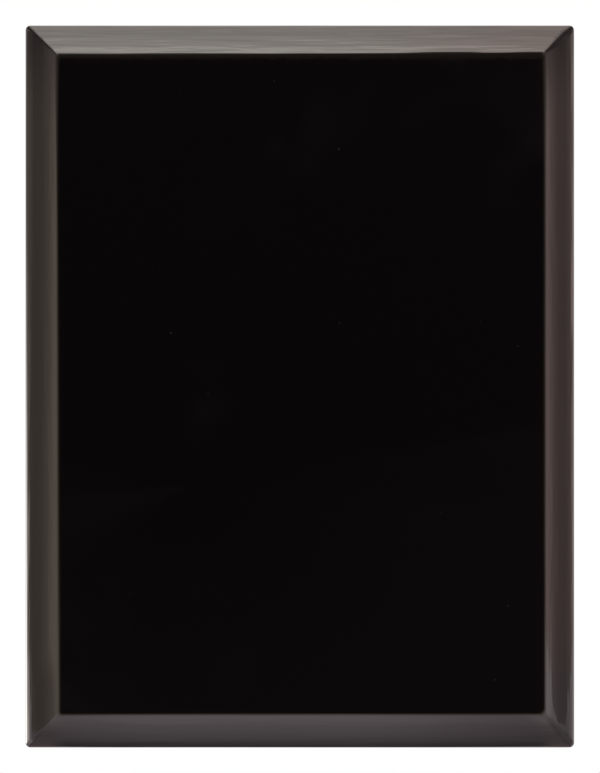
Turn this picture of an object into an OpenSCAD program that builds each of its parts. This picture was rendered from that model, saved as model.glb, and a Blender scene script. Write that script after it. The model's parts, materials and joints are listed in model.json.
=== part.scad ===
// Bevelled wall plaque: a lacquered board with recessed keyhole hangers and rubber bumpers on its back.
// Millimetres. +Z is up, the polished face looks along -Y, and the wall is on the +Y side.
// The origin is the centre of the upright hanger's round keyhole entry, on the plane of the back.

/* [Board] */
// Width across the outer edges
board_w = 203.2; // [150:0.1:320]
// Height across the outer edges
board_h = 267.4; // [200:0.1:420]
// Thickness from the polished face to the back
board_t = 19; // [16:0.1:25]
// Radius of the four outer corners, seen from the front
corner_r = 1.8; // [1:0.1:6]

/* [Bevel] */
// Width of the bevel, seen from the front
bevel_w = 12.7; // [8:0.1:18]
// Depth of the bevel, from the face to the straight edge
bevel_d = 11; // [7:0.1:12]
// Rise of the bevel's convex curve above its chord
bevel_crown = 0.5; // [0.3:0.05:1]
// Radius of the softened line between the face and the bevel
arris_r = 3.5; // [1.5:0.1:6]
// Radius of the softened line between the bevel and the straight edge
edge_r = 3; // [1.5:0.1:4]

/* [Lacquer and backing] */
// Thickness of the lacquer on the face, the bevels and the edges
lacquer_t = 0.6; // [0.3:0.05:0.9]
// Thickness of the sheet that covers the back
sheet_t = 0.4; // [0.2:0.05:1]

/* [Keyhole hangers] */
// Distance from the nearest board edge to the centre of a keyhole entry
hang_drop = 42; // [36:0.5:70]
// Length of a hanger plate
plate_l = 46; // [44:0.5:60]
// Width of a hanger plate
plate_w = 17; // [15:0.5:22]
// Thickness of a hanger plate
plate_t = 1.5; // [1:0.1:2]
// Gap between a hanger plate and the wall of its recess
plate_gap = 0.3; // [0.1:0.05:0.6]
// Diameter of the round entry that takes the head of a wall screw
entry_d = 9.5; // [8:0.1:11]
// Width of the slot that holds the shank of a wall screw
slot_w = 5; // [4.5:0.1:6]
// Distance from the entry's centre to the place where the shank rests
slot_rise = 8; // [6:0.5:9]
// Room round the wall screw's head inside the board
head_room = 1.25; // [0.8:0.05:1.8]
// Depth of the hollow behind a hanger plate
hollow_d = 6.5; // [5:0.1:9]

/* [Hanger screws] */
// Distance from each end of a hanger plate to the centre of its screw
screw_inset = 5; // [4:0.1:6]
// Diameter of a screw's shank
screw_d = 3; // [2.5:0.1:3.5]
// Diameter of a screw's countersunk head
screw_head_d = 6; // [5:0.1:7]
// Length of a screw from the top of its head to its tip
screw_l = 12; // [8:0.5:14]
// Length of a screw's pointed tip
tip_l = 3; // [2:0.1:4]
// Thickness of the straight rim of a screw's head
head_rim = 0.2; // [0.1:0.05:0.3]
// Gap between a screw and the plate or the board
screw_gap = 0.1; // [0.05:0.05:0.2]
// Length of each arm pair of the cross recess
recess_l = 3.4; // [2.5:0.1:4]
// Width of the cross recess
recess_w = 0.8; // [0.6:0.05:1]
// Depth of the cross recess
recess_d = 1.2; // [0.8:0.1:1.4]

/* [Bumpers] */
// Diameter of a bumper
bumper_d = 10; // [8:0.5:14]
// Height of a bumper above the back
bumper_h = 2.5; // [1.5:0.1:4]
// Radius of a bumper's outer edge
bumper_round = 0.9; // [0.4:0.1:1.4]
// Distance from the board's edges to a bumper's centre
bumper_inset = 14; // [10:0.5:24]

/* [Hidden] */
$fn = 64;

// Height of the board's middle, and the place of the sideways hanger
mid_z = hang_drop - board_h / 2;
landscape_x = hang_drop - board_w / 2;

// The crowned bevel is an arc through both ends of its chord, and the two softening arcs touch it from inside
chord = norm([bevel_w, bevel_d]);
bevel_r = (chord * chord / 4 + bevel_crown * bevel_crown) / (2 * bevel_crown);
bevel_c = [bevel_w, bevel_d] / 2 + [bevel_d, bevel_w] * (bevel_r - bevel_crown) / chord;
arris_c = [bevel_c.x - sqrt(pow(bevel_r - arris_r, 2) - pow(bevel_c.y - arris_r, 2)), arris_r];
edge_c = [edge_r, bevel_c.y - sqrt(pow(bevel_r - edge_r, 2) - pow(bevel_c.x - edge_r, 2))];
arris_turn = heading(bevel_c, arris_c);
edge_turn = heading(bevel_c, edge_c);
// Straight steps along each arc of the profile
arris_steps = 6;
bevel_steps = 6;
edge_steps = 6;

// The keyhole sits in the middle of its plate, over a hollow that clears the wall screw's head along the slot
plate_shift = (slot_rise + slot_w / 2 - entry_d / 2) / 2;
hollow_w = entry_d + 2 * head_room;
screw_cone_h = (screw_head_d - screw_d) / 2;
// Distance that cutting shapes run past the faces they cut
past = 1;

function heading(from, to) = atan2(to.y - from.y, to.x - from.x);

// Points on an arc, without its first point
function arc(centre, radius, start, end, steps) =
    [for (i = [1:steps]) let (a = start + (end - start) * i / steps) centre + radius * [cos(a), sin(a)]];

// One edge of the board from the face to the straight side, as [inset from the side, depth behind the face]
function edge_profile(skin) = concat(
    [[arris_c.x, skin]],
    arc(arris_c, arris_r - skin, -90, arris_turn, arris_steps),
    arc(bevel_c, bevel_r - skin, arris_turn, edge_turn, bevel_steps),
    arc(edge_c, edge_r - skin, edge_turn, -180, edge_steps)
);

// Whole cross-section of the board over a given width, down to the depth of its back
module board_section(width, skin, back) {
    side = concat(
        [for (p = edge_profile(skin)) [p.x - width / 2, p.y - board_t]],
        [[skin - width / 2, back]]
    );
    other = [for (i = [len(side) - 1:-1:0]) [-side[i].x, side[i].y]];
    polygon(concat(side, other));
}

// Extrudes a flat shape, drawn in X and Z, from the plane y = from towards the face
module inward(from, depth) {
    translate([0, from, 0])
        rotate([90, 0, 0])
            linear_extrude(depth)
                children();
}

// Rectangle with true round corners
module rounded_rectangle(width, height, radius) {
    square([width - 2 * radius, height], center = true);
    square([width, height - 2 * radius], center = true);
    for (x = [-1, 1], y = [-1, 1])
        translate([x * (width / 2 - radius), y * (height / 2 - radius)])
            circle(radius);
}

// Straight sides with round ends
module stadium(length, width) {
    square([width, length - width], center = true);
    for (end = [-1, 1])
        translate([0, end * (length - width) / 2])
            circle(d = width);
}

// Bevelled block: the outer form of the board at skin = 0, or that form shrunk by skin
module bevelled_block(skin, back) {
    translate([0, 0, mid_z])
        intersection() {
            linear_extrude(board_h + 2 * past, center = true)
                board_section(board_w, skin, back);
            rotate([0, -90, 0])
                linear_extrude(board_w + 2 * past, center = true)
                    board_section(board_h, skin, back);
            inward(back + past, board_t + back + 2 * past)
                rounded_rectangle(board_w - 2 * skin, board_h - 2 * skin, corner_r - skin);
        }
}

// Places a hanger and all that belongs to it upright, or sideways with its slot towards the left edge
module at_portrait() {
    children();
}
module at_landscape() {
    translate([landscape_x, 0, mid_z])
        rotate([0, -90, 0])
            children();
}
module at_both_hangers() {
    at_portrait() children();
    at_landscape() children();
}

// Places a screw at one end of its hanger plate: 1 is the slot's end, -1 the entry's end
module at_screw(end) {
    translate([0, 0, plate_shift + end * (plate_l / 2 - screw_inset)])
        children();
}

// Recess that a hanger plate lies in, from the plane of the back
module plate_recess() {
    inward(past, plate_t + past)
        translate([0, plate_shift])
            stadium(plate_l + 2 * plate_gap, plate_w + 2 * plate_gap);
}

// Hollow behind the plate for the wall screw's head
module head_hollow() {
    inward(-plate_t + past, hollow_d + past)
        translate([0, slot_rise / 2])
            stadium(slot_rise + hollow_w, hollow_w);
}

// Holes for the plate's own two screws, through the plate and into the board
module screw_holes() {
    for (end = [-1, 1])
        at_screw(end)
            screw_shape(screw_gap);
}

module core_board() {
    color([0.45, 0.34, 0.24])
        difference() {
            bevelled_block(lacquer_t, -sheet_t);
            at_both_hangers() {
                plate_recess();
                head_hollow();
                screw_holes();
            }
        }
}

module lacquer_shell() {
    color([0.02, 0.02, 0.02])
        difference() {
            bevelled_block(0, 0);
            bevelled_block(lacquer_t, past);
        }
}

module backing_sheet() {
    color([0.06, 0.06, 0.06])
        difference() {
            translate([0, 0, mid_z])
                inward(0, sheet_t)
                    rounded_rectangle(board_w - 2 * lacquer_t, board_h - 2 * lacquer_t, corner_r - lacquer_t);
            at_both_hangers() plate_recess();
        }
}

// Stamped plate with a keyhole in its middle and a countersunk hole at each end
module hanger_plate() {
    color([0.72, 0.71, 0.68])
        difference() {
            inward(0, plate_t)
                translate([0, plate_shift])
                    stadium(plate_l, plate_w);
            inward(past, plate_t + 2 * past) {
                circle(d = entry_d);
                translate([-slot_w / 2, 0])
                    square([slot_w, slot_rise]);
                translate([0, slot_rise])
                    circle(d = slot_w);
            }
            screw_holes();
        }
}

// Countersunk screw driven along -Y, its head flush with the plane of the back, grown all round by gap
module screw_shape(gap) {
    head_r = screw_head_d / 2 + gap;
    shank_r = screw_d / 2 + gap;
    rotate([90, 0, 0])
        rotate_extrude()
            polygon([
                [0, -gap], [head_r, -gap], [head_r, head_rim], [shank_r, head_rim + screw_cone_h],
                [shank_r, screw_l - tip_l], [0, screw_l + gap],
            ]);
}

module hanger_screw() {
    color([0.62, 0.61, 0.58])
        difference() {
            screw_shape(0);
            for (turn = [0, 90])
                rotate([0, turn, 0])
                    inward(past, recess_d + past)
                        square([recess_l, recess_w], center = true);
        }
}

// Round bumper stuck to the back near a corner: side -1 is left and 1 right, end -1 is the bottom and 1 the top
module bumper(side, end) {
    translate([side * (board_w / 2 - bumper_inset), 0, mid_z + end * (board_h / 2 - bumper_inset)])
        rotate([-90, 0, 0])
            color([0.09, 0.09, 0.09])
                rotate_extrude() {
                    square([bumper_d / 2, bumper_h - bumper_round]);
                    square([bumper_d / 2 - bumper_round, bumper_h]);
                    translate([bumper_d / 2 - bumper_round, bumper_h - bumper_round])
                        circle(bumper_round);
                }
}

core_board();
lacquer_shell();
backing_sheet();
at_portrait() hanger_plate();  // portrait_hanger
at_landscape() hanger_plate();  // landscape_hanger
at_portrait() at_screw(1) hanger_screw();  // portrait_screw_upper
at_portrait() at_screw(-1) hanger_screw();  // portrait_screw_lower
at_landscape() at_screw(1) hanger_screw();  // landscape_screw_outer
at_landscape() at_screw(-1) hanger_screw();  // landscape_screw_inner
bumper(-1, 1);  // bumper_top_left
bumper(1, 1);  // bumper_top_right
bumper(-1, -1);  // bumper_bottom_left
bumper(1, -1);  // bumper_bottom_right
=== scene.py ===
"""Looks of a blank bevelled wall plaque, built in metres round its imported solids."""
import json
import logging
import math
from dataclasses import dataclass, field
from enum import Enum
from typing import Sequence

import bmesh
import bpy
from mathutils import Matrix, Vector


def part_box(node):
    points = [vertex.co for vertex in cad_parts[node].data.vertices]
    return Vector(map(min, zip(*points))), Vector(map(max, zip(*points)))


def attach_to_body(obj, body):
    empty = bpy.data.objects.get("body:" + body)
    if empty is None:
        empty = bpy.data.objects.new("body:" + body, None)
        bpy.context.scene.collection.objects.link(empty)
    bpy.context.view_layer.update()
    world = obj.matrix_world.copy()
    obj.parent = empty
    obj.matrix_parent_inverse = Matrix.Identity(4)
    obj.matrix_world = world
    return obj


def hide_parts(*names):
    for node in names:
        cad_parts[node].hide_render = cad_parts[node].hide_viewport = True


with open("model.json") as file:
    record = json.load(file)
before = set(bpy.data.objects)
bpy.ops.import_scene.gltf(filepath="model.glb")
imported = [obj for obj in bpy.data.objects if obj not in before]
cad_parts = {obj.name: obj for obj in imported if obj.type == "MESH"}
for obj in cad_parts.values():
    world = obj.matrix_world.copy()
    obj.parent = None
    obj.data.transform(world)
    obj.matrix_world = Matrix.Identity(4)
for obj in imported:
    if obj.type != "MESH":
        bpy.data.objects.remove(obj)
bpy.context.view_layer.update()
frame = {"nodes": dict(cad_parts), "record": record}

Colour = tuple[float, float, float]
Factors = tuple[float, float, float]
Pair = tuple[float, float]
# A smooth change over a range: where it begins and ends, and the results before and after it
Change = tuple[float, float, float, float]
Outline = list[Vector]
Ring = list[bmesh.types.BMVert]
Socket = bpy.types.NodeSocket

MM = 0.001
BODY = "root"
WHITE: Colour = (1.0, 1.0, 1.0)
DIM_AMBER: Colour = (1.0, 0.80, 0.58)
WHOLE: Pair = (0.0, 1.0)
HALF_TURN = 180.0
# Light that a full ramp of the tent stands for, where 1 is white
PEAK_LIGHT = 7.0
# How far each screw was driven round, in degrees
SCREW_TURNS = {
    "portrait_screw_upper": 18,
    "portrait_screw_lower": 61,
    "landscape_screw_outer": 37,
    "landscape_screw_inner": 80,
}
BUMPERS = ("bumper_top_left", "bumper_top_right", "bumper_bottom_left", "bumper_bottom_right")

log = logging.getLogger("plaque")


class Corner(Enum):
    """A corner of the plaque as its signs along X and Z and the angle where its round starts."""

    TOP_RIGHT = (1, 1, 0)
    TOP_LEFT = (-1, 1, 90)
    BOTTOM_LEFT = (-1, -1, 180)
    BOTTOM_RIGHT = (1, -1, 270)


class Side(Enum):
    """A side of the plaque, seen from the front, as its axis and its sign there."""

    LEFT = ("X", -1.0)
    RIGHT = ("X", 1.0)
    BOTTOM = ("Z", -1.0)
    TOP = ("Z", 1.0)


class Hang(Enum):
    """A way to hang the plaque: the start of its solids' names, and its hanger's turn in degrees."""

    UPRIGHT = ("portrait", 0)
    SIDEWAYS = ("landscape", -90)

    @property
    def prefix(self) -> str:
        """Start of its solids' names."""
        return self.value[0]

    @property
    def turn(self) -> Matrix:
        """Turn of its hanger about Y."""
        return Matrix.Rotation(math.radians(self.value[1]), 4, "Y")


@dataclass(frozen=True)
class Grain:
    """Noise: lumps in a metre, octaves of finer lumps, how strong those are, and a factor for each axis."""

    scale: float
    detail: float = 2.0
    rough: float = 0.5
    stretch: Factors | None = None


@dataclass(frozen=True)
class Fall:
    """A fall of light: where it begins and ends, and the share of each colour that is left."""

    turn: Pair
    rest: Colour


class NodeBoard:
    """The nodes of one material or world, with short calls for those that are used often."""

    def __init__(self, tree: bpy.types.NodeTree) -> None:
        """Takes the node tree that the calls add to."""
        self.tree = tree

    @property
    def surface(self) -> bpy.types.Node:
        """The material's surface shader."""
        return self.tree.nodes["Principled BSDF"]

    def wire(self, node: bpy.types.Node, inputs: dict[str | int, object]) -> None:
        """Link an output to each input of a node, or set the input's own value.

        Args:
            node: The node.
            inputs: Output sockets, numbers, vectors or colours by the input's name or number.
        """
        for name, value in inputs.items():
            if isinstance(value, Socket):
                self.tree.links.new(value, node.inputs[name])
            else:
                node.inputs[name].default_value = value

    def add(self, kind: str, inputs: dict[str | int, object] | None = None,
            **settings: object) -> bpy.types.Node:
        """Add a node, set its properties and wire its inputs.

        Args:
            kind: Blender's type name without its ShaderNode prefix.
            inputs: What its inputs are wired to.
            **settings: Properties of the node itself.

        Returns:
            The new node.
        """
        node = self.tree.nodes.new("ShaderNode" + kind)
        for name, value in settings.items():
            setattr(node, name, value)
        self.wire(node, inputs or {})
        return node

    def sum(self, operation: str, first: object, second: object = 0.0) -> Socket:
        """Do one sum, such as ADD or MULTIPLY, on two numbers."""
        return self.add("Math", {0: first, 1: second}, operation=operation).outputs[0]

    def vector(self, operation: str, first: object, second: object = (0.0, 0.0, 0.0)) -> Socket:
        """Do one sum on two vectors or colours, part by part."""
        return self.add("VectorMath", {0: first, 1: second}, operation=operation).outputs[0]

    def dimmed(self, colour: object, level: object) -> Socket:
        """Scale a colour by a level."""
        return self.add("VectorMath", {0: colour, 3: level}, operation="SCALE").outputs[0]

    def heading(self, across: Socket, up: Socket) -> list[Socket]:
        """Bring a direction in the plane of the plaque, as its parts along X and Z, to length 1."""
        flat = self.add("CombineXYZ", {0: across, 2: up}).outputs[0]
        return list(self.add("SeparateXYZ", {0: self.vector("NORMALIZE", flat)}).outputs)[::2]

    def spread(self, value: object, low: float, high: float, start: float = 0.0, end: float = 1.0) -> Socket:
        """Map a value smoothly: start where it is low, and end where it is high."""
        inputs = {"Value": value, "From Min": low, "From Max": high, "To Min": start, "To Max": end}
        return self.add("MapRange", inputs, interpolation_type="SMOOTHSTEP").outputs["Result"]

    def blend(self, factor: object, first: object, second: object) -> Socket:
        """Mix two colours, by the share of the second one."""
        ends = [(*value, 1.0) if isinstance(value, tuple) else value for value in (first, second)]
        return self.add("Mix", {0: factor, 6: ends[0], 7: ends[1]}, data_type="RGBA").outputs[2]

    def fall(self, colour: Socket, place: Socket, fall: Fall) -> Socket:
        """Let a colour fall off with a number that grows along a range."""
        share = self.blend(self.spread(place, *fall.turn), WHITE, fall.rest)
        return self.vector("MULTIPLY", colour, share)

    def place(self) -> Socket:
        """Point on the piece, in metres."""
        return self.add("TexCoord").outputs["Object"]

    def stretch(self, point: Socket, scale: Factors) -> Socket:
        """Scale a point by a factor along each axis."""
        return self.add("Mapping", {"Vector": point, "Scale": scale}).outputs["Vector"]

    def noise(self, point: Socket, grain: Grain) -> Socket:
        """Read noise at a point.

        Args:
            point: The point, in metres.
            grain: The noise.

        Returns:
            The noise there, from 0 to 1.
        """
        place = self.stretch(point, grain.stretch) if grain.stretch else point
        inputs = {"Vector": place, "Scale": grain.scale, "Detail": grain.detail, "Roughness": grain.rough}
        return self.add("TexNoise", inputs).outputs["Fac"]

    def relief(self, height: Socket, depth: float, **under: Socket) -> Socket:
        """Relief of a height from 0 to 1, where 1 is a depth in metres, on another Normal if one is given."""
        return self.add("Bump", {"Height": height, "Distance": depth, **under}).outputs["Normal"]


@dataclass(frozen=True)
class Finish:
    """A finish that dresses pieces, with one material of its own name.

    In each finish, a turn is where its noise begins to show and where it shows in full.
    """

    name: str

    def lay(self, board: NodeBoard) -> None:
        """Lay the finish's nodes out."""
        raise NotImplementedError

    def dress(self, piece: bpy.types.Object) -> None:
        """Give a piece this finish alone, with a material that is made at its first use.

        Args:
            piece: The piece.
        """
        material = bpy.data.materials.get(self.name)
        if material is None:
            material = bpy.data.materials.new(self.name)
            material.use_nodes = True
            self.lay(NodeBoard(material.node_tree))
        piece.data.materials.clear()
        piece.data.materials.append(material)


@dataclass(frozen=True)
class BlackLacquer(Finish):
    """Buffed black polyester lacquer: a mirror with buffing waves, faint smudges and a little dust."""

    name: str = "black_lacquer"
    deep: Colour = (0.0013, 0.0007, 0.0010)
    smudged: Colour = (0.0025, 0.0018, 0.0021)
    smudge: Grain = Grain(16.0, 4.0, 0.62)
    smudge_turn: Pair = (0.54, 0.76)
    gloss: Pair = (0.014, 0.04)
    index: float = 1.5
    dust: Colour = (0.030, 0.027, 0.026)
    dust_cells: float = 210.0
    dust_size: Change = (0.72, 1.0, 0.0, 0.055)
    peel: Grain = Grain(260.0, 1.0)
    peel_depth: float = 0.0012 * MM
    level_wave: Grain = Grain(1.0, 1.5, stretch=(34.0, 420.0, 420.0))
    upright_wave: Grain = Grain(1.0, 1.5, stretch=(420.0, 420.0, 34.0))
    wave_middle: float = 0.5
    wave_depth: float = 0.27 * MM
    mitre_slope: float = 2.0
    upper_share: Change = (0.25, 0.5, 0.14, 1.0)
    bevel_share: Change = (0.86, 0.97, 1.0, 0.0)

    def lay(self, board: NodeBoard) -> None:
        """Lay out smudges and dust in the colour and gloss, and waves and orange peel in the relief.

        Args:
            board: The material's nodes.
        """
        point = board.place()
        smudge = board.spread(board.noise(point, self.smudge), *self.smudge_turn)
        colour = board.blend(smudge, self.deep, self.smudged)
        peel = board.relief(board.noise(point, self.peel), self.peel_depth)
        board.wire(board.surface, {
            "Base Color": board.blend(self.specks(board, point), colour, self.dust),
            "Roughness": board.spread(smudge, *WHOLE, *self.gloss),
            "IOR": self.index,
            "Normal": board.relief(self.waves(board, point), self.wave_depth, Normal=peel),
        })

    def specks(self, board: NodeBoard, point: Socket) -> Socket:
        """Scatter a few specks of dust.

        Args:
            board: The material's nodes.
            point: Point on the piece.

        Returns:
            A mask that is 1 on a speck.
        """
        cells = board.add("TexVoronoi", {"Vector": point, "Scale": self.dust_cells}).outputs
        size = board.spread(board.sum("MULTIPLY", cells["Color"], 1.0), *self.dust_size)
        return board.sum("LESS_THAN", cells["Distance"], size)

    def waves(self, board: NodeBoard, point: Socket) -> Socket:
        """Draw buffing waves along each bevel: strong on the upper one, quiet on its mitres and the others.

        Args:
            board: The material's nodes.
            point: Point on the piece.

        Returns:
            The height of the waves, which is even on the flat face.
        """
        facing = board.add("SeparateXYZ", {0: board.add("TexCoord").outputs["Normal"]}).outputs
        across, front, up = (board.sum("ABSOLUTE", facing[axis]) for axis in "XYZ")
        level, upright = (board.noise(point, wave) for wave in (self.level_wave, self.upright_wave))
        beside = board.sum("GREATER_THAN", across, up)
        drawn = board.add("Mix", {0: beside, 2: level, 3: upright}).outputs[0]
        drawn = board.sum("SUBTRACT", drawn, self.wave_middle)
        mitre = board.sum("MULTIPLY", across, self.mitre_slope)
        share = board.spread(board.sum("SUBTRACT", facing["Z"], mitre), *self.upper_share)
        share = board.sum("MULTIPLY", share, board.spread(front, *self.bevel_share))
        return board.sum("MULTIPLY", drawn, share)


@dataclass(frozen=True)
class Patchy(Finish):
    """Two colours in patches of noise, with a roughness that follows them, over a fine grain."""

    plain: Colour
    patched: Colour
    patches: Grain
    turn: Pair
    rough: Pair
    grain: Grain
    grain_depth: float
    metal: float = 0.0

    def lay(self, board: NodeBoard) -> None:
        """Lay out the patches in the colour and roughness, and the grain in the relief.

        Args:
            board: The material's nodes.
        """
        point = board.place()
        patches = board.spread(board.noise(point, self.patches), *self.turn)
        grain = board.noise(self.grain_point(board, point), self.grain)
        board.wire(board.surface, {
            "Base Color": board.blend(patches, self.plain, self.patched),
            "Metallic": self.metal,
            "Roughness": self.roughness(board, patches, grain),
            "Normal": board.relief(grain, self.grain_depth),
        })

    def grain_point(self, board: NodeBoard, point: Socket) -> Socket:
        """Point that the grain is read at."""
        return point

    def roughness(self, board: NodeBoard, patches: Socket, grain: Socket) -> Socket | float:
        """Roughness, which follows the patches."""
        return board.spread(patches, *WHOLE, *self.rough)


@dataclass(frozen=True)
class Melamine(Patchy):
    """Satin black melamine with a fine pearl grain and a few scuffs."""

    name: str = "satin_melamine"
    plain: Colour = (0.016, 0.016, 0.017)
    patched: Colour = (0.034, 0.033, 0.033)
    patches: Grain = Grain(22.0, 6.0, 0.7)
    turn: Pair = (0.5, 0.8)
    rough: Pair = (0.38, 0.52)
    grain: Grain = Grain(1400.0, 3.0, 0.6)
    grain_depth: float = 0.03 * MM


@dataclass(frozen=True)
class BumperRubber(Patchy):
    """Matt black moulded rubber with a fine texture and a trace of dust."""

    name: str = "bumper_rubber"
    plain: Colour = (0.022, 0.022, 0.022)
    patched: Colour = (0.060, 0.058, 0.055)
    patches: Grain = Grain(420.0, 4.0, 0.7)
    turn: Pair = (0.48, 0.8)
    rough: Pair = (0.62, 0.85)
    grain: Grain = Grain(2600.0, 2.0)
    grain_depth: float = 0.04 * MM


@dataclass(frozen=True)
class Fibreboard(Patchy):
    """Raw routed fibreboard: brown and matt, with dark and pale fibres that stand up as fuzz."""

    name: str = "raw_fibreboard"
    plain: Colour = (0.25, 0.16, 0.09)
    patched: Colour = (0.46, 0.32, 0.20)
    patches: Grain = Grain(1.0, 5.0, 0.7, (900.0, 2600.0, 1500.0))
    turn: Pair = (0.3, 0.7)
    rough: Pair = (0.9, 0.9)
    grain: Grain = patches
    grain_depth: float = 0.15 * MM

    def roughness(self, board: NodeBoard, patches: Socket, grain: Socket) -> Socket | float:
        """Roughness, which is the same all over."""
        return self.rough[0]


@dataclass(frozen=True)
class ZincPlate(Patchy):
    """Zinc-plated steel, brushed along one axis, with a faint passivation tint in patches."""

    name: str = "zinc_plate"
    plain: Colour = (0.70, 0.70, 0.69)
    patched: Colour = (0.66, 0.62, 0.52)
    patches: Grain = Grain(90.0, 3.0)
    turn: Pair = (0.35, 0.7)
    rough: Pair = (0.24, 0.42)
    grain: Grain = Grain(1.0, 3.0, 0.6, (2600.0, 2600.0, 60.0))
    grain_turn: Pair = (0.25, 0.75)
    grain_depth: float = 0.012 * MM
    metal: float = 1.0

    def roughness(self, board: NodeBoard, patches: Socket, grain: Socket) -> Socket | float:
        """Roughness, which follows the brushing."""
        return board.spread(grain, *self.grain_turn, *self.rough)


@dataclass(frozen=True)
class ScrewZinc(Patchy):
    """Bright zinc on a screw, with a dull film in patches and turning marks round its axis."""

    name: str = "screw_zinc"
    plain: Colour = (0.66, 0.66, 0.65)
    patched: Colour = (0.50, 0.49, 0.46)
    patches: Grain = Grain(700.0, 3.0)
    turn: Pair = (0.4, 0.75)
    rough: Pair = (0.18, 0.34)
    grain: Grain = Grain(5200.0, 2.0)
    grain_depth: float = 0.02 * MM
    metal: float = 1.0

    def grain_point(self, board: NodeBoard, point: Socket) -> Socket:
        """Point that the turning marks are read at, the same all round the screw's axis."""
        reach = board.add("VectorMath", {0: board.stretch(point, (1.0, 0.0, 1.0))}, operation="LENGTH")
        return board.add("CombineXYZ", {0: reach.outputs["Value"]}).outputs[0]


@dataclass(frozen=True)
class FloorPaint(Finish):
    """Pale matt paint that the camera sees as the white ground."""

    name: str = "floor_paint"
    pale: Colour = (0.9, 0.9, 0.9)
    rough: float = 0.8

    def lay(self, board: NodeBoard) -> None:
        """Lay out the paint for light, and plain white for the camera.

        Args:
            board: The material's nodes.
        """
        board.wire(board.surface, {"Base Color": (*self.pale, 1.0), "Roughness": self.rough})
        white = board.add("Emission", {"Color": (*WHITE, 1.0), "Strength": 1.0}).outputs[0]
        camera = board.add("LightPath").outputs["Is Camera Ray"]
        mixed = board.add("MixShader", {0: camera, 1: board.surface.outputs[0], 2: white}).outputs[0]
        board.wire(board.tree.nodes["Material Output"], {"Surface": mixed})


def sweep(centre: Pair, radius: float, start: float, end: float, steps: int, y: float) -> Outline:
    """Give an arc that lies square to Y.

    Args:
        centre: Its centre along X and Z.
        radius: Its radius.
        start: Angle of its first point, in degrees from X towards Z.
        end: Angle of its last point.
        steps: Straight steps along it.
        y: Its place along Y.

    Returns:
        The arc's points, both ends included.
    """
    x, z = centre
    turns = (math.radians(start + (end - start) * step / steps) for step in range(steps + 1))
    return [Vector((x + radius * math.cos(turn), y, z + radius * math.sin(turn))) for turn in turns]


def circle(radius: float, steps: int, y: float, z: float = 0.0) -> Outline:
    """Circle that lies square to Y, with its centre at a height."""
    return sweep((0.0, z), radius, 0, 360, steps, y)[:-1]


def obround(low: float, high: float, radius: float, steps: int, y: float) -> Outline:
    """Two half circles that lie square to Y, with their centres at two heights and straight sides between."""
    upper = sweep((0.0, high), radius, 0, 180, steps, y)
    return upper + sweep((0.0, low), radius, 180, 360, steps, y)


def rounded_edge(radius: float, steps: int = 5) -> list[Pair]:
    """Section of a rounded edge: distances from the wall and depths below the face, from face to wall."""
    turns = (math.pi / 2 * step / steps for step in range(steps + 1))
    return [(radius * (1 - math.sin(turn)), radius * (1 - math.cos(turn))) for turn in turns]


def ease(value: float, low: float, high: float, start: float, end: float) -> Pair:
    """Change smoothly from one number to another over a range.

    Args:
        value: Where in the range.
        low: Where the change begins.
        high: Where the change ends.
        start: Number below low.
        end: Number above high.

    Returns:
        The number there and its slope.
    """
    share = min(max((value - low) / (high - low), 0.0), 1.0)
    slope = 6 * share * (1 - share) * (end - start) / (high - low)
    return start + (end - start) * share * share * (3 - 2 * share), slope


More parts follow.
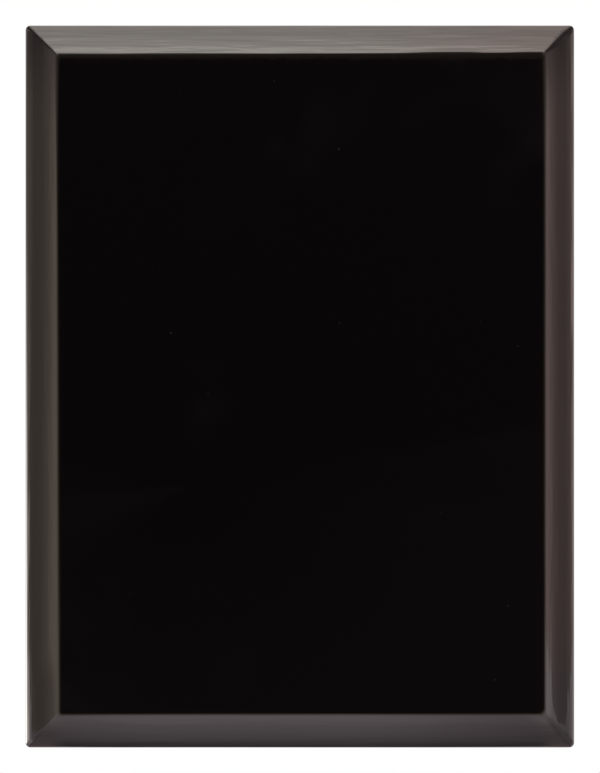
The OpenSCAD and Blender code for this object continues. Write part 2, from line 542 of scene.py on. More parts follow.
class MeshMaker:
    """A mesh that is built from rings of points and closed by flat fills."""

    def __init__(self) -> None:
        """Starts an empty mesh."""
        self.mesh = bmesh.new()

    def ring(self, points: Outline) -> Ring:
        """Add a ring of points."""
        return [self.mesh.verts.new(point) for point in points]

    def stack(self, outlines: Sequence[Outline], place: Matrix | None = None) -> tuple[Ring, Ring]:
        """Join rings of equal length into one wall.

        Args:
            outlines: The rings' points, in order along the wall.
            place: Where the wall goes, if it isn't drawn in place.

        Returns:
            The first and the last ring.
        """
        if place is not None:
            outlines = [[place @ point for point in points] for points in outlines]
        rings = [self.ring(points) for points in outlines]
        for near, far in zip(rings, rings[1:]):
            for here in range(len(near)):
                after = (here + 1) % len(near)
                self.mesh.faces.new((near[here], far[here], far[after], near[after]))
        return rings[0], rings[-1]

    def turned(self, section: Sequence[Pair], steps: int, z: float = 0.0,
               place: Matrix | None = None) -> tuple[Ring, Ring]:
        """Turn a section of radii and places along Y into a wall about a line at a height."""
        return self.stack([circle(radius, steps, y, z) for radius, y in section], place)

    def cap(self, ring: Ring) -> None:
        """Close a ring with one flat face."""
        self.mesh.faces.new(ring)

    def peak(self, ring: Ring, tip: Vector) -> None:
        """Close a ring with a fan to one point.

        Args:
            ring: The ring.
            tip: The point.
        """
        apex = self.mesh.verts.new(tip)
        for here in range(len(ring)):
            self.mesh.faces.new((ring[here], apex, ring[(here + 1) % len(ring)]))

    def fill(self, *rings: Ring) -> None:
        """Fill the flat space between an outer ring and the rings inside it.

        Args:
            *rings: The outer ring and then the holes.
        """
        edges = []
        for ring in rings:
            for here in range(len(ring)):
                pair = (ring[here], ring[(here + 1) % len(ring)])
                edges.append(self.mesh.edges.get(pair) or self.mesh.edges.new(pair))
        bmesh.ops.triangle_fill(self.mesh, use_beauty=True, use_dissolve=False, edges=edges)

    def leaning(self) -> Outline:
        """Mean normal of each point's faces, where the larger faces count for more."""
        sums = (sum((f.normal * f.calc_area() for f in v.link_faces), Vector()) for v in self.mesh.verts)
        return [total.normalized() for total in sums]

    def piece(self, name: str, finish: Finish, place: Matrix | None = None,
              normals: Outline | None = None) -> bpy.types.Object:
        """Close the mesh's making and give it as an object.

        Args:
            name: The piece's name.
            finish: Its finish.
            place: Where it goes, if it isn't built in place.
            normals: A true normal for each point, where they are known.

        Returns:
            The object, dressed and linked to the scene.
        """
        bmesh.ops.recalc_face_normals(self.mesh, faces=self.mesh.faces)
        for face in self.mesh.faces:
            face.smooth = True
        normals = normals or self.leaning()
        data = bpy.data.meshes.new(name)
        self.mesh.to_mesh(data)
        self.mesh.free()
        data.normals_split_custom_set_from_vertices(normals)
        made = bpy.data.objects.new(name, data)
        bpy.context.scene.collection.objects.link(made)
        if place is not None:
            made.matrix_world = place
        finish.dress(made)
        return made


@dataclass(frozen=True)
class Station:
    """A stop along the edge profile: inset from the side, depth behind the face, and the way it runs."""

    inset: float
    depth: float
    run_inset: float
    run_depth: float


@dataclass
class EdgeProfile:
    """Section through the edge: face, soft arris, crowned bevel, soft edge, straight side and rim."""

    thickness: float
    bevel_width: float = 12.7 * MM
    bevel_depth: float = 11.0 * MM
    crown: float = 0.5 * MM
    arris_radius: float = 3.5 * MM
    edge_radius: float = 3.0 * MM
    rim_radius: float = 0.25 * MM
    coat: float = 0.6 * MM
    arc_steps: int = 16

    def bevel_arc(self) -> tuple[float, float, float]:
        """Find the crowned bevel's arc.

        Returns:
            Its centre's inset and depth, and its radius.
        """
        width, depth = self.bevel_width, self.bevel_depth
        chord = math.hypot(width, depth)
        radius = (chord * chord / 4 + self.crown**2) / (2 * self.crown)
        reach = (radius - self.crown) / chord
        return width / 2 + depth * reach, depth / 2 + width * reach, radius

    def arc(self, centre: Pair, radius: float, start: float, end: float) -> list[Station]:
        """Give the stations along an arc, without its first one.

        Args:
            centre: Inset and depth of its centre.
            radius: Its radius.
            start: Angle where it starts, in radians.
            end: Angle where it ends, smaller than start.

        Returns:
            The stations.
        """
        stations = []
        for step in range(1, self.arc_steps + 1):
            turn = start + (end - start) * step / self.arc_steps
            run, fall = math.cos(turn), math.sin(turn)
            stations.append(Station(centre[0] + radius * run, centre[1] + radius * fall, fall, -run))
        return stations

    def front(self, skin: float) -> list[Station]:
        """Give the stations from the face to the straight side.

        Args:
            skin: How far inside the outer surface they lie.

        Returns:
            The stations.
        """
        inset, depth, radius = self.bevel_arc()
        arris, edge = self.arris_radius, self.edge_radius
        arris_inset = inset - math.sqrt((radius - arris) ** 2 - (depth - arris) ** 2)
        edge_depth = depth - math.sqrt((radius - edge) ** 2 - (inset - edge) ** 2)
        first = math.atan2(arris - depth, arris_inset - inset)
        last = math.atan2(edge_depth - depth, edge - inset)
        return [
            Station(arris_inset, skin, -1.0, 0.0),
            *self.arc((arris_inset, arris), arris - skin, -math.pi / 2, first),
            *self.arc((inset, depth), radius - skin, first, last),
            *self.arc((edge, edge_depth), edge - skin, last, -math.pi),
        ]

    def behind(self) -> list[Station]:
        """Give the stations from the straight side to the inner edge of the back rim.

        Returns:
            The stations.
        """
        rim, side_end = self.rim_radius, self.thickness - self.rim_radius
        return [
            Station(0.0, side_end, 0.0, 1.0),
            *self.arc((rim, side_end), rim, -math.pi, -1.5 * math.pi),
            Station(self.coat, self.thickness, 1.0, 0.0),
        ]

    def inside(self) -> list[Station]:
        """Stations inside the coat, from its back rim to the board's face."""
        stops = reversed(self.front(self.coat))
        return [Station(stop.inset, stop.depth, -stop.run_inset, -stop.run_depth) for stop in stops]


@dataclass(frozen=True)
class BuffedCorner:
    """What buffing has left of a corner.

    These are the rounds of its mitre and of the face, and the shares of the even bevel width that are left
    of the upright and the level bevel.
    """

    mitre: float
    face: float
    upright: float
    level: float


@dataclass
class LacquerShell:
    """The black coat: flat face, bevels that meet in mitres, and straight edges round to the back."""

    low: Vector
    high: Vector
    profile: EdgeProfile
    finish: Finish
    outer_round: float = 1.8 * MM
    corners: dict[Corner, BuffedCorner] = field(default_factory=lambda: {
        Corner.TOP_RIGHT: BuffedCorner(2.9 * MM, 1.2 * MM, 0.99, 0.955),
        Corner.TOP_LEFT: BuffedCorner(1.4 * MM, 0.8 * MM, 0.968, 1.017),
        Corner.BOTTOM_LEFT: BuffedCorner(1.3 * MM, 1.3 * MM, 1.037, 1.067),
        Corner.BOTTOM_RIGHT: BuffedCorner(2.8 * MM, 2.0 * MM, 1.0, 1.078),
    })
    flare: float = 3.0 * MM
    corner_steps: int = 14
    side_steps: int = 12

    def corner_round(self, shape: BuffedCorner, stop: Station) -> Pair:
        """Find a corner's radius at a station, and how fast it changes along the profile.

        Args:
            shape: What buffing has left of the corner.
            stop: The station.

        Returns:
            The radius and its change.
        """
        radius, slope = ease(stop.inset, 0.0, self.flare, self.outer_round, shape.mitre)
        rest = ease(stop.inset, self.flare, self.profile.bevel_width, 0.0, shape.face - shape.mitre)
        return radius + rest[0], (slope + rest[1]) * stop.run_inset

    def ring(self, stop: Station, buffed: bool = True) -> tuple[Outline, Outline]:
        """Lay one station out round the plaque.

        Args:
            stop: The station.
            buffed: Whether buffing has made the bevel wider or narrower there.

        Returns:
            The ring's points and the surface's normals there.
        """
        half_width, half_height = (self.high.x - self.low.x) / 2, (self.high.z - self.low.z) / 2
        centre = (self.low + self.high) / 2
        depth = self.low.y + stop.depth
        points, normals = [], []
        for corner, shape in self.corners.items():
            across, up, start = corner.value
            radius, change = self.corner_round(shape, stop)
            upright, level = (shape.upright, shape.level) if buffed else (1.0, 1.0)
            middle_x = centre.x + across * (half_width - stop.inset * upright - radius)
            middle_z = centre.z + up * (half_height - stop.inset * level - radius)
            # Along the profile, the round's centre moves by its drift and its radius by its change
            drift_x = -across * (stop.run_inset * upright + change)
            drift_z = -up * (stop.run_inset * level + change)
            for step in range(self.corner_steps + 1):
                turn = math.radians(start + 90 * step / self.corner_steps)
                out_x, out_z = math.cos(turn), math.sin(turn)
                points.append(Vector((middle_x + radius * out_x, depth, middle_z + radius * out_z)))
                run = Vector((drift_x + change * out_x, stop.run_depth, drift_z + change * out_z))
                normals.append(run.cross(Vector((-out_z, 0.0, out_x))).normalized())
        return self.divide(points), self.divide(normals)

    def divide(self, values: Outline) -> Outline:
        """Put even steps along the straight stretch after each corner.

        Args:
            values: One value for each point of the corners.

        Returns:
            The values with those of the straight stretches.
        """
        per_corner = self.corner_steps + 1
        full = []
        for corner in range(len(Corner)):
            full += values[corner * per_corner:(corner + 1) * per_corner]
            here, there = full[-1], values[(corner + 1) * per_corner % len(values)]
            full += [here.lerp(there, step / self.side_steps) for step in range(1, self.side_steps)]
        return full

    def build(self) -> bpy.types.Object:
        """Build the coat as one closed shell with true normals.

        Returns:
            The piece.
        """
        maker = MeshMaker()
        rings = [self.ring(stop) for stop in self.profile.front(0.0)]
        rings += [self.ring(stop, False) for stop in self.profile.behind()]
        rings += [self.ring(stop) for stop in self.profile.inside()]
        face, floor = maker.stack([points for points, _ in rings])
        maker.cap(face)
        maker.cap(floor[::-1])
        normals = [normal for _, ring in rings for normal in ring]
        return maker.piece("lacquer_coat", self.finish, normals=normals)


@dataclass
class KeyholeHanger:
    """Stamped plate with rolled edges, a keyhole in its middle and a countersunk hole at each end."""

    finish: Finish
    length: float = 46.0 * MM
    width: float = 17.0 * MM
    thickness: float = 1.5 * MM
    entry: float = 9.5 * MM
    slot: float = 5.0 * MM
    rise: float = 8.0 * MM
    screw_inset: float = 5.0 * MM
    hole: float = 6.2 * MM
    hole_rim: float = 0.2 * MM
    roll: float = 0.3 * MM
    burr: float = 0.1 * MM
    arc_steps: int = 32

    def reach(self, inset: float) -> Pair:
        """Places along the plate, from the entry's centre, at an inset from its lower and its upper end."""
        middle = (self.rise + self.slot / 2 - self.entry / 2) / 2
        return middle - (self.length / 2 - inset), middle + (self.length / 2 - inset)

    def outline(self, away: float, y: float) -> Outline:
        """Plate's outline, some way inside its true edge and at a place along Y."""
        return obround(*self.reach(self.width / 2), self.width / 2 - away, self.arc_steps, y)

    def keyhole(self, away: float, y: float) -> Outline:
        """Give the keyhole's outline.

        Args:
            away: How far outside the keyhole's true edge it lies.
            y: Its place along Y.

        Returns:
            The outline's points.
        """
        radius, half = self.entry / 2 + away, self.slot / 2 + away
        neck = math.degrees(math.acos(half / radius))
        entry = sweep((0.0, 0.0), radius, 180 - neck, 360 + neck, 2 * self.arc_steps, y)
        return entry + sweep((0.0, self.rise), half, 0, 180, self.arc_steps, y)

    def build(self, name: str, place: Matrix) -> bpy.types.Object:
        """Build the plate at its keyhole's entry.

        Args:
            name: The piece's name.
            place: Where its keyhole's entry sits on the plane of the back, and which way its slot points.

        Returns:
            The piece.
        """
        maker = MeshMaker()
        wall = rounded_edge(self.roll)
        wall += [(away, self.thickness - depth) for away, depth in reversed(rounded_edge(self.burr))]
        rims = []
        for shape in (self.outline, self.keyhole):
            rims.append(maker.stack([shape(away, -depth) for away, depth in wall]))
        radius, rim = self.hole / 2, self.hole_rim
        cone = [(radius + away, -depth) for away, depth in rounded_edge(rim / 2)]
        cone += [(radius, -rim), (radius + rim - self.thickness, -self.thickness)]
        rims += [maker.turned(cone, 2 * self.arc_steps, z) for z in self.reach(self.screw_inset)]
        for edges in zip(*rims):
            maker.fill(*edges)
        return maker.piece(name, self.finish, place)


@dataclass
class CoreBoard:
    """Fibreboard under the coat, with a routed pocket behind each hanger and a hole for each screw."""

    coat: LacquerShell
    hanger: KeyholeHanger
    finish: Finish
    sheet: float = 0.4 * MM
    plate_gap: float = 0.3 * MM
    hollow_width: float = 12.0 * MM
    hollow_depth: float = 6.5 * MM
    hollow_corner: float = 0.4 * MM
    pilot: float = 3.2 * MM
    pilot_straight: float = 9.0 * MM
    pilot_depth: float = 12.1 * MM

    def hollow(self, away: float, y: float) -> Outline:
        """Outline of the hollow for a wall screw's head, some way inside its wall and at a place along Y."""
        return obround(0.0, self.hanger.rise, self.hollow_width / 2 - away, self.hanger.arc_steps, y)

    def pocket(self, maker: MeshMaker, place: Matrix) -> Ring:
        """Cut the recess, hollow and screw holes behind one hanger.

        Args:
            maker: The board's mesh.
            place: Where the hanger sits.

        Returns:
            The recess's mouth.
        """
        hanger, floor = self.hanger, -self.hanger.thickness
        mouth, ledge = maker.stack([hanger.outline(-self.plate_gap, y) for y in (-self.sheet, floor)], place)
        corner = reversed(rounded_edge(self.hollow_corner))
        walls = [self.hollow(away, floor - self.hollow_depth + rise) for away, rise in corner]
        entry, base = maker.stack([self.hollow(0.0, floor), *walls], place)
        maker.cap(base)
        radius, rim = self.pilot / 2, hanger.hole_rim
        bore = [(radius + rim, floor), (radius, floor - rim), (radius, -self.pilot_straight)]
        drilled = []
        for z in hanger.reach(hanger.screw_inset):
            first, last = maker.turned(bore, hanger.arc_steps, z, place)
            maker.peak(last, place @ Vector((0.0, -self.pilot_depth, z)))
            drilled.append(first)
        maker.fill(ledge, entry, *drilled)
        return mouth

    def build(self, places: Sequence[Matrix]) -> bpy.types.Object:
        """Build the board as one closed solid.

        Args:
            places: Where the hangers sit.

        Returns:
            The piece.
        """
        maker = MeshMaker()
        profile = self.coat.profile
        rings = [self.coat.ring(stop)[0] for stop in profile.front(profile.coat)]
        back = Station(profile.coat, profile.thickness - self.sheet, 0.0, 1.0)
        face, rim = maker.stack([*rings, self.coat.ring(back, False)[0]])
        maker.cap(face)
        maker.fill(rim, *(self.pocket(maker, place) for place in places))
        return maker.piece("routed_board", self.finish)


@dataclass
class HangerScrew:
    """Countersunk screw with a rounded head edge and a tapered cross recess."""

    finish: Finish
    head: float = 6.0 * MM
    shank: float = 3.0 * MM
    length: float = 12.0 * MM
    tip: float = 3.0 * MM
    rim: float = 0.2 * MM
    edge: float = 0.12 * MM
    recess_length: float = 3.4 * MM
    recess_width: float = 0.8 * MM
    recess_depth: float = 1.2 * MM
    recess_taper: float = 0.15 * MM
    recess_lip: float = 0.08 * MM
    steps: int = 64
    arm_steps: int = 6

    def cross(self, grow: float, y: float) -> Outline:
        """Give the recess's outline.

        Args:
            grow: How far outside its true outline it lies.
            y: Its place along Y.

        Returns:
            The outline's points.
        """
        half, reach = self.recess_width / 2 + grow, self.recess_length / 2 + grow
        arm = [Vector((half, y, -half)), *sweep((reach - half, 0.0), half, -90, 90, self.arm_steps, y)]
        turns = (Matrix.Rotation(math.radians(-90 * quarter), 3, "Y") for quarter in range(4))
        return [turn @ point for turn in turns for point in arm]

    def build(self, name: str, place: Vector, turn: float) -> bpy.types.Object:
        """Build the screw with its head flush with the back.

        Args:
            name: The piece's name.
            place: Centre of the head's top.
            turn: How far it was driven round, in degrees.

        Returns:
            The piece.
        """
        maker = MeshMaker()
        head, shank = self.head / 2, self.shank / 2
        section = [(head - away, -depth) for away, depth in rounded_edge(self.edge)]
        section += [(head, -self.rim), (shank, shank - head - self.rim), (shank, self.tip - self.length)]
        top, bottom = maker.turned(section, self.steps)
        maker.peak(bottom, Vector((0.0, -self.length, 0.0)))
        recess = [*rounded_edge(self.recess_lip), (-self.recess_taper, self.recess_depth)]
        mouth, floor = maker.stack([self.cross(grow, -depth) for grow, depth in recess])
        maker.fill(top, mouth)
        maker.cap(floor)
        driven = Matrix.Translation(place) @ Matrix.Rotation(math.radians(turn), 4, "Y")
        return maker.piece(name, self.finish, driven)


@dataclass
class Bumper:
    """Moulded rubber foot with a slight draft, a rounded edge, a shallow dish and a moulding pip.

    The pip's shoulder is given as shares of its radius and height, and its top as a share of its radius.
    """

    finish: Finish
    radius: float = 5.0 * MM
    height: float = 2.5 * MM
    draft: float = 0.1 * MM
    edge: float = 0.9 * MM
    edge_steps: int = 8
    dish_radius: float = 3.3 * MM
    dish_depth: float = 0.18 * MM
    dish_slope: float = 0.5 * MM
    pip_radius: float = 0.45 * MM
    pip_height: float = 0.1 * MM
    pip_shoulder: Pair = (0.8, 0.7)
    pip_top: float = 0.4
    steps: int = 72

    def section(self) -> list[Pair]:
        """Give the foot's section.

        Returns:
            Its radii and heights, from its base to its middle.
        """
        top, floor = self.radius - self.draft, self.height - self.dish_depth
        edge = reversed(rounded_edge(self.edge, self.edge_steps))
        wide, high = self.pip_shoulder
        return [
            (self.radius, 0.0),
            *((top - away, self.height - depth) for away, depth in edge),
            (self.dish_radius, self.height),
            (self.dish_radius - self.dish_slope / 2, self.height - self.dish_depth / 2),
            (self.dish_radius - self.dish_slope, floor),
            (self.pip_radius, floor),
            (self.pip_radius * wide, floor + self.pip_height * high),
            (self.pip_radius * self.pip_top, floor + self.pip_height),
        ]

    def build(self, name: str, place: Vector) -> bpy.types.Object:
        """Build the foot on the back.

        Args:
            name: The piece's name.
            place: Centre of its base.

        Returns:
            The piece.
        """
        maker = MeshMaker()
        section = self.section()
        base, middle = maker.turned(section, self.steps)
        maker.cap(base)
        maker.peak(middle, Vector((0.0, section[-1][1], 0.0)))
        return maker.piece(name, self.finish, Matrix.Translation(place))


class TentBoard(NodeBoard):
    """The world's nodes, with headings and angles of the direction that gloss looks in."""

    mitre_gain: float = 0.85
    right_turn: Pair = (-0.3, 0.3)

    def __init__(self, tree: bpy.types.NodeTree, lean: dict[Side, float]) -> None:
        """Finds what the tent's parts need to know of the direction.

        Args:
            tree: The world's node tree.
            lean: How far the lines of sight lean at each side of the plaque.
        """
        super().__init__(tree)
        self.parts = self.add("SeparateXYZ", {0: self.add("TexCoord").outputs["Generated"]}).outputs
        self.ahead = self.sum("MULTIPLY", self.parts["Y"], -1.0)
        # Angle from the front, in degrees
        self.angle = self.sum("MULTIPLY", self.sum("ARCCOSINE", self.ahead), math.degrees(1))
        # Headings to the right and upwards in the plane of the plaque, from -1 to 1
        self.across, self.up = self.heading(self.parts["X"], self.parts["Z"])
        # Headings round a mitre: to either side from 0 to 1, and upwards from -1 to 1
        self.beside, self.rise = self.mitre_heading(lean)
        self.bevel_angle = self.unfold()
        # From 0 at the left to 1 at the right, and the same round a mitre
        self.to_right = self.spread(self.across, *self.right_turn)
        self.beside_right = self.sum("MULTIPLY", self.to_right, self.beside)

    def mitre_heading(self, lean: dict[Side, float]) -> list[Socket]:
        """Find how far round a mitre the direction points, freed from the lean of the lines of sight.

        Args:
            lean: How far the lines of sight lean at each side of the plaque.

        Returns:
            The headings to either side and upwards.
        """
        reach = {}
        for side in Side:
            axis, sign = side.value
            past = self.sum("SUBTRACT", self.sum("MULTIPLY", self.parts[axis], sign), lean[side])
            reach[side] = self.sum("MAXIMUM", past, 0.0)
        sideways = self.sum("ADD", reach[Side.LEFT], reach[Side.RIGHT])
        return self.heading(sideways, self.sum("SUBTRACT", reach[Side.TOP], reach[Side.BOTTOM]))

    def unfold(self) -> Socket:
        """Turn the angle that a mitre's gentler slope shows into that of the bevels beside it.

        Returns:
            The angle, in degrees, so that a band of light runs on round a mitre.
        """
        excess = self.sum("SUBTRACT", self.sum("ADD", self.beside, self.sum("ABSOLUTE", self.rise)), 1.0)
        gain = self.sum("MULTIPLY", self.sum("MAXIMUM", excess, 0.0), self.mitre_gain)
        # A mirror leans by half the angle that it shows
        slope = self.sum("TANGENT", self.sum("MULTIPLY", self.angle, math.radians(0.5)))
        steeper = self.sum("MULTIPLY", slope, self.sum("ADD", gain, 1.0))
        return self.sum("MULTIPLY", self.sum("ARCTANGENT", steeper), math.degrees(2))

    def away(self, middle: float) -> Socket:
        """Distance of the heading to the right from a middle."""
        return self.sum("ABSOLUTE", self.sum("SUBTRACT", self.across, middle))


@dataclass(frozen=True)
class TentPart:
    """A part of the light tent: its tint, and its levels of light by the angle from the front.

    It takes over from the parts before it along its turn. A level of 1 is white. Each part starts and ends
    in white light, and is amber where it is dim. Angles are in degrees.
    """

    tint: Colour
    levels: tuple[Pair, ...]
    turn: Pair = WHOLE
    front: float = 0.028
    front_end: float = 17.0
    dim_end: float = 49.0
    back: float = 1.0
    back_start: float = 150.0

    def share(self, board: TentBoard) -> Socket:
        """Share of this part over those before it, which grows upwards."""
        return board.spread(board.up, *self.turn)

    def colour(self, board: TentBoard) -> Socket:
        """Light of this part, by the angle on the bevels."""
        return self.ramp(board, board.bevel_angle)

    def ramp(self, board: TentBoard, angle: Socket) -> Socket:
        """Lay the levels out by angle.

        Args:
            board: The world's nodes.
            angle: The angle.

        Returns:
            The light, as a share of the tent's peak light.
        """
        node = board.add("ValToRGB", {0: board.sum("DIVIDE", angle, HALF_TURN)})
        levels = ((0, self.front), *self.levels, (self.back_start, self.back))
        stops = node.color_ramp.elements
        while len(stops) < len(levels):
            stops.new(1.0)
        for stop, (turn, level) in zip(stops, levels):
            tint = DIM_AMBER if turn < self.dim_end else self.tint
            if turn < self.front_end or turn == self.back_start:
                tint = WHITE
            stop.position = turn / HALF_TURN
            stop.color = (*(level / PEAK_LIGHT * share for share in tint), 1.0)
        return node.outputs["Color"]


@dataclass(frozen=True)
class LeftPart(TentPart):
    """Left side, under all the others, with bands that are narrower low down."""

    tint: Colour = (1.0, 0.82, 0.70)
    levels: tuple[Pair, ...] = (
        (5, 0.045), (20, 0.07), (35, 0.28), (48, 0.97), (62, 1.7), (74, 1.7), (79, 1.05), (85, 0.70),
        (91, 0.60), (93.2, 0.64), (95, 0.83), (97, 0.92), (105, 1.0))
    narrowing: Change = (-0.067, -0.086, 0.0, 4.0)

    def colour(self, board: TentBoard) -> Socket:
        """Light at angles that are narrowed low down."""
        narrowing = board.spread(board.up, *self.narrowing)
        return self.ramp(board, board.sum("ADD", board.bevel_angle, narrowing))


@dataclass(frozen=True)
class RightPart(TentPart):
    """Right side, which falls off low down."""

    tint: Colour = (1.0, 0.75, 0.68)
    levels: tuple[Pair, ...] = (
        (8, 0.046), (20, 0.08), (36, 0.17), (48, 0.53), (62, 1.5), (79, 1.92), (83, 1.18), (88, 0.74),
        (95, 0.62), (98, 0.72), (100, 0.78), (101, 1.0), (102.2, 2.0), (103, 2.4), (110, 1.5))
    fall: Fall = Fall((-0.05, -0.09), (0.86, 0.92, 1.0))

    def share(self, board: TentBoard) -> Socket:
        """Share that grows to the right."""
        return board.to_right

    def colour(self, board: TentBoard) -> Socket:
        """Light with its fall."""
        return board.fall(super().colour(board), board.up, self.fall)


@dataclass(frozen=True)
class LowPart(TentPart):
    """Part between the bottom and the sides, under the bowed lower edge of the sides.

    The edge, its middle angle, and how it bows outside and inside that angle are given for the left and
    the right. The bow stays between two bends, and a strong bow blurs the edge.
    """

    tint: Colour = (1.0, 0.86, 0.85)
    levels: tuple[Pair, ...] = (
        (7, 0.05), (34, 0.1), (46, 0.8), (60, 1.7), (75, 2.3), (79, 1.6), (83, 1.27), (86, 1.02),
        (88.5, 1.0), (90, 1.12), (92, 1.42), (93.6, 1.8), (95, 2.7), (100, 2.4), (108, 1.7))
    edge: Pair = (-0.1005, -0.0963)
    middle: Pair = (88.0, 90.4)
    bow_out: Pair = (0.00014, 0.000022)
    bow_in: Pair = (-0.00008, 0.000022)
    bow_power: float = 3.0
    bends: Pair = (-0.36, 0.03)
    blurs: Pair = (-0.4, 0.15)
    least_blur: float = 0.0007
    shift: Change = (86.0, 97.0, 4.0, 7.3)
    end: Change = (0.5, 0.95, 89.0, 180.0)
    fall: Fall = Fall((-0.2, -1.0), (0.76, 0.72, 0.75))
    outer_turn: Pair = (92.0, 95.0)
    right_fall: Fall = Fall(WHOLE, (0.8, 0.8, 0.8))

    def share(self, board: TentBoard) -> Socket:
        """Find the share under the bowed edge.

        Args:
            board: The world's nodes.

        Returns:
            The share.
        """
        ends = (self.edge, self.middle, self.bow_out, self.bow_in)
        edge, middle, bow_out, bow_in = (board.spread(board.to_right, *WHOLE, *pair) for pair in ends)
        bows = []
        for first, second, bow in ((board.angle, middle, bow_out), (middle, board.angle, bow_in)):
            off = board.sum("MAXIMUM", board.sum("SUBTRACT", first, second), 0.0)
            bows.append(board.sum("MULTIPLY", board.sum("POWER", off, self.bow_power), bow))
        bend = board.sum("MAXIMUM", board.sum("ADD", *bows), self.bends[0])
        bend = board.sum("MINIMUM", bend, self.bends[1])
        blur = board.sum("MAXIMUM", *(board.sum("MULTIPLY", bend, part) for part in self.blurs))
        blur = board.sum("ADD", blur, self.least_blur)
        under = board.sum("SUBTRACT", board.sum("ADD", edge, bend), board.up)
        return board.spread(board.sum("DIVIDE", under, blur), -1.0, 1.0)

    def colour(self, board: TentBoard) -> Socket:
        """Give the light, shifted to the right, ended beside, and falling off downwards and to the right.

        Args:
            board: The world's nodes.

        Returns:
            The light.
        """
        shift = board.sum("MULTIPLY", board.beside_right, board.spread(board.bevel_angle, *self.shift))
        angle = board.sum("SUBTRACT", board.bevel_angle, shift)
        angle = board.sum("MINIMUM", angle, board.spread(board.beside, *self.end))
        colour = board.fall(self.ramp(board, angle), board.rise, self.fall)
        outer = board.spread(board.bevel_angle, *self.outer_turn)
        return board.fall(colour, board.sum("MULTIPLY", board.beside_right, outer), self.right_fall)


@dataclass(frozen=True)
class GroundPart(TentPart):
    """Bottom, which takes over within a distance of its middle and falls off to both sides."""

    tint: Colour = (1.0, 0.86, 0.90)
    levels: tuple[Pair, ...] = (
        (5, 0.056), (34, 0.08), (45, 0.76), (58, 1.6), (73, 1.97), (79, 1.45), (89, 0.92), (96, 0.42),
        (108, 0.26), (140, 0.2))
    turn: Pair = (0.103, 0.094)
    middle: float = 0.0445
    most_rise: float = -0.5
    fall: Fall = Fall((0.035, 0.125), (0.70, 0.66, 0.67))
    fall_middle: float = 0.03

    def share(self, board: TentBoard) -> Socket:
        """Share near the middle, in directions that point down."""
        below = board.sum("LESS_THAN", board.rise, self.most_rise)
        return board.sum("MULTIPLY", board.spread(board.away(self.middle), *self.turn), below)

    def colour(self, board: TentBoard) -> Socket:
        """Light with its fall."""
        return board.fall(super().colour(board), board.away(self.fall_middle), self.fall)


@dataclass(frozen=True)
class HighPart(TentPart):
    """Part between the top and the sides, which ends beside."""

    tint: Colour = (1.0, 0.80, 0.74)
    levels: tuple[Pair, ...] = (
        (12, 0.036), (33, 0.15), (46, 0.5), (60, 0.9), (75, 1.0), (80, 0.8), (84, 0.5), (90, 0.38),
        (94, 0.37), (97, 0.48), (100, 0.6), (102.5, 1.5), (112, 1.1))
    turn: Pair = (0.145, 0.185)
    end: Change = (0.85, 1.0, 94.0, 180.0)

    def colour(self, board: TentBoard) -> Socket:
        """Light up to its end."""
        end = board.spread(board.beside, *self.end)
        return self.ramp(board, board.sum("MINIMUM", board.bevel_angle, end))


@dataclass(frozen=True)
class TopPart(TentPart):
    """Lamps above, which fall off to the right."""

    tint: Colour = (1.0, 0.92, 0.85)
    levels: tuple[Pair, ...] = (
        (10, 0.034), (42, 0.10), (53, 0.85), (66, 5.0), (80, 5.8), (83, 4.3), (100, 2.45), (120, 2.2))
    turn: Pair = (0.83, 0.98)
    fall: Fall = Fall((0.03, 0.17), (0.84, 0.76, 0.76))

    def share(self, board: TentBoard) -> Socket:
        """Share that grows upwards round a mitre."""
        return board.spread(board.rise, *self.turn)

    def colour(self, board: TentBoard) -> Socket:
        """Light with its fall."""
        return board.fall(super().colour(board), board.across, self.fall)


@dataclass(frozen=True)
class Brow:
    """Dim light above the level brow of the tent's front opening, which fades as the angle grows."""

    slope: float = 0.1732
    blur: float = 0.0004
    least_ahead: float = 0.01
    level: Change = (40.0, 56.0, 0.138, 0.0)

    def light(self, board: TentBoard) -> Socket:
        """Give the light.

        Args:
            board: The world's nodes.

        Returns:
            The light.
        """
        slope = board.sum("DIVIDE", board.parts["Z"], board.sum("MAXIMUM", board.ahead, self.least_ahead))
        above = board.spread(slope, self.slope - self.blur, self.slope + self.blur)
        return board.dimmed(DIM_AMBER, board.sum("MULTIPLY", above, board.spread(board.angle, *self.level)))


@dataclass(frozen=True)
class RimGlow:
    """White ground behind, which shows in the lower part of the left rim.

    It grows and ends along the angle, and it grows sooner lower down. It shows below a height, above a
    foot, and to one side.
    """

    tint: Colour = (1.0, 0.95, 0.90)
    level: Change = (93.0, 104.0, 0.0, 9.0)
    end: Change = (130.0, 150.0, 1.0, 0.0)
    lean: float = 15.0
    height: Pair = (0.15, -0.14)
    foot: Pair = (-0.45, -0.28)
    side: Pair = (-0.2, -0.6)

    def light(self, board: TentBoard) -> Socket:
        """Give the light.

        Args:
            board: The world's nodes.

        Returns:
            The light.
        """
        lowered = board.sum("MAXIMUM", board.up, self.height[1])
        reach = board.sum("SUBTRACT", board.angle, board.sum("MULTIPLY", lowered, self.lean))
        level = board.spread(reach, *self.level)
        heights = ((board.up, self.height), (board.up, self.foot))
        for place, limit in ((board.angle, self.end), *heights, (board.across, self.side)):
            level = board.sum("MULTIPLY", level, board.spread(place, *limit))
        return board.dimmed(self.tint, level)


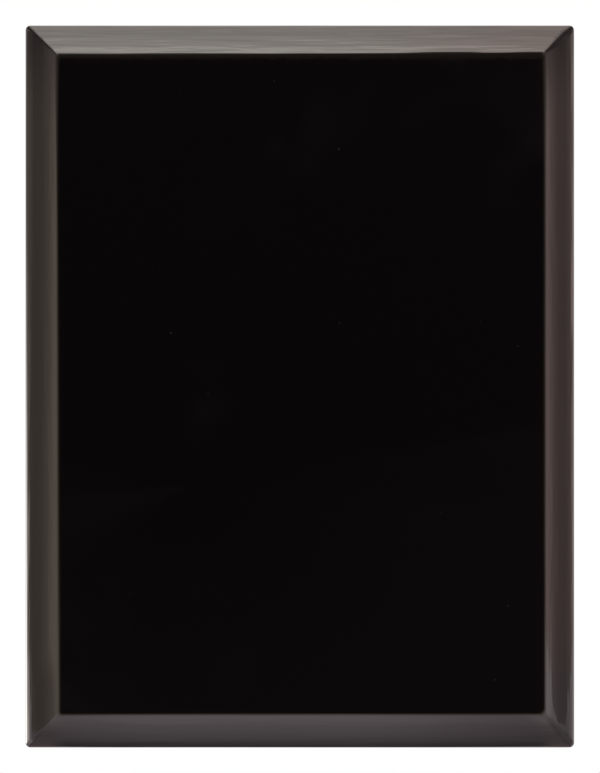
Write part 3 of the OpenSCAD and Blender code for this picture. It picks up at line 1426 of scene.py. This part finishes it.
@dataclass
class LightTent:
    """White studio: even light on matt surfaces, and a tent with a dark front opening in glossy ones."""

    lean: dict[Side, float]
    parts: tuple[TentPart, ...] = (
        LeftPart(), RightPart(), LowPart(), GroundPart(), HighPart(), TopPart())
    extras: tuple[Brow | RimGlow, ...] = (Brow(), RimGlow())
    soft_light: Change = (-1.0, 1.0, 0.75, 1.25)

    def build(self) -> None:
        """Make the world: white to the camera, the tent to gloss and glass, and soft light to the rest."""
        world = bpy.data.worlds.new("light_tent")
        world.use_nodes = True
        bpy.context.scene.world = world
        board = TentBoard(world.node_tree, self.lean)
        rays = board.add("LightPath").outputs
        gloss = board.sum("MAXIMUM", rays["Is Glossy Ray"], rays["Is Transmission Ray"])
        level = board.spread(board.parts["Z"], *self.soft_light)
        soft = board.add("CombineColor", {0: level, 1: level, 2: level}).outputs[0]
        lit = board.blend(gloss, soft, self.tent(board))
        seen = board.blend(rays["Is Camera Ray"], lit, WHITE)
        board.wire(world.node_tree.nodes["Background"], {"Color": seen})

    def tent(self, board: TentBoard) -> Socket:
        """Lay the tent's parts over each other, and add the extra lights.

        Args:
            board: The world's nodes.

        Returns:
            What gloss shows in a direction.
        """
        colour = self.parts[0].colour(board)
        for part in self.parts[1:]:
            colour = board.blend(part.share(board), colour, part.colour(board))
        colour = board.dimmed(colour, PEAK_LIGHT)
        for extra in self.extras:
            colour = board.vector("ADD", colour, extra.light(board))
        return colour


@dataclass
class Floor:
    """Pale round floor far below the plaque."""

    finish: Finish
    drop: float = 1.4
    radius: float = 3.0
    steps: int = 96

    def build(self, below: float) -> None:
        """Lay the floor.

        Args:
            below: Height of the plaque's lowest edge.
        """
        maker = MeshMaker()
        rim = [Vector((p.x, p.z, below - self.drop)) for p in circle(self.radius, self.steps, 0.0)]
        maker.cap(maker.ring(rim))
        floor = maker.piece("floor", self.finish)
        floor.visible_glossy = False


@dataclass(frozen=True)
class Framing:
    """The photograph's framing: square to the face, with the lens low and left of the middle.

    The picture, the plaque's outline in it and the foot, the point that the lens faces, are in pixels.
    """

    low: Vector
    high: Vector
    width: int = 600
    height: int = 773
    outline_left: float = 25.6
    outline_right: float = 573.95
    outline_top: float = 25.95
    outline_bottom: float = 747.15
    foot_across: float = 190.5
    foot_down: float = 485.0
    distance: float = 0.9
    outline_depth: float = 12.4 * MM
    film: float = 36.0

    def scale(self) -> float:
        """Pixels in a metre at the outline's depth."""
        return (self.outline_right - self.outline_left) / (self.high.x - self.low.x)

    def lean(self) -> dict[Side, float]:
        """Find how far the lines of sight lean at each side of the outline.

        Returns:
            Sideways run of a line of sight for each step to the back.
        """
        reach = self.scale() * (self.distance + self.outline_depth)
        return {
            Side.LEFT: (self.foot_across - self.outline_left) / reach,
            Side.RIGHT: (self.outline_right - self.foot_across) / reach,
            Side.TOP: (self.foot_down - self.outline_top) / reach,
            Side.BOTTOM: (self.outline_bottom - self.foot_down) / reach,
        }

    def build(self) -> None:
        """Make the camera."""
        scale = self.scale()
        middle = (self.low + self.high) / 2
        middle_across = (self.outline_left + self.outline_right) / 2
        middle_down = (self.outline_top + self.outline_bottom) / 2
        data = bpy.data.cameras.new("camera")
        data.sensor_width = self.film
        data.lens = self.film * scale * (self.distance + self.outline_depth) / self.height
        data.shift_x = (self.width / 2 - self.foot_across) / self.height
        data.shift_y = (self.foot_down - self.height / 2) / self.height
        camera = bpy.data.objects.new("camera", data)
        camera.location = (
            middle.x + (self.foot_across - middle_across) / scale,
            self.low.y - self.distance,
            middle.z + (middle_down - self.foot_down) / scale,
        )
        camera.rotation_euler = (math.pi / 2, 0.0, 0.0)
        bpy.context.scene.collection.objects.link(camera)
        bpy.context.scene.camera = camera


def attach(piece: bpy.types.Object, slot: str, *nodes: str) -> None:
    """Fix a piece to the plaque in place of the solids that it stands for.

    Args:
        piece: The piece.
        slot: The record's material slot for the piece; not used.
        *nodes: The solids that it replaces.
    """
    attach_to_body(piece, BODY)
    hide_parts(*nodes)
    log.info("%s: %d points, in place of %s", piece.name, len(piece.data.vertices), ", ".join(nodes))


def foot_of(node: str) -> Vector:
    """Give the point on the plane of the back at the middle of a solid."""
    low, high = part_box(node)
    return Vector(((low.x + high.x) / 2, 0.0, (low.z + high.z) / 2))


def main() -> None:
    """Build the plaque's pieces in order, dress the solids that stay, and light and frame them."""
    low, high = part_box("lacquer_shell")
    framing = Framing(low, high)
    framing.build()
    LightTent(framing.lean()).build()
    Floor(FloorPaint()).build(low.z)
    coat = LacquerShell(low, high, EdgeProfile(thickness=high.y - low.y), BlackLacquer())
    attach(coat.build(), "lacquer", "lacquer_shell")
    mounts = {mount["name"]: Vector(mount["pos_m"]) for mount in frame["record"]["mounts"]}
    places = {hang: Matrix.Translation(mounts[hang.prefix + "_keyhole"]) @ hang.turn for hang in Hang}
    hanger = KeyholeHanger(ZincPlate())
    attach(CoreBoard(coat, hanger, Fibreboard()).build(tuple(places.values())), "board", "core_board")
    for hang, place in places.items():
        attach(hanger.build(hang.prefix + "_plate", place), "hanger_steel", hang.prefix + "_hanger")
    screw = HangerScrew(ScrewZinc())
    for node, turn in SCREW_TURNS.items():
        attach(screw.build(node + "_driven", foot_of(node), turn), "screw_steel", node)
    bumper = Bumper(BumperRubber())
    for node in BUMPERS:
        attach(bumper.build(node + "_foot", foot_of(node)), "bumper_rubber", node)
    backing = Melamine()
    backing.dress(frame["nodes"]["backing_sheet"])
    log.info("backing_sheet: the solid itself in %s", backing.name)
    bpy.context.scene.view_settings.view_transform = "Standard"


if __name__ == "__main__":
    logging.basicConfig(level=logging.INFO, format="%(message)s")
    main()
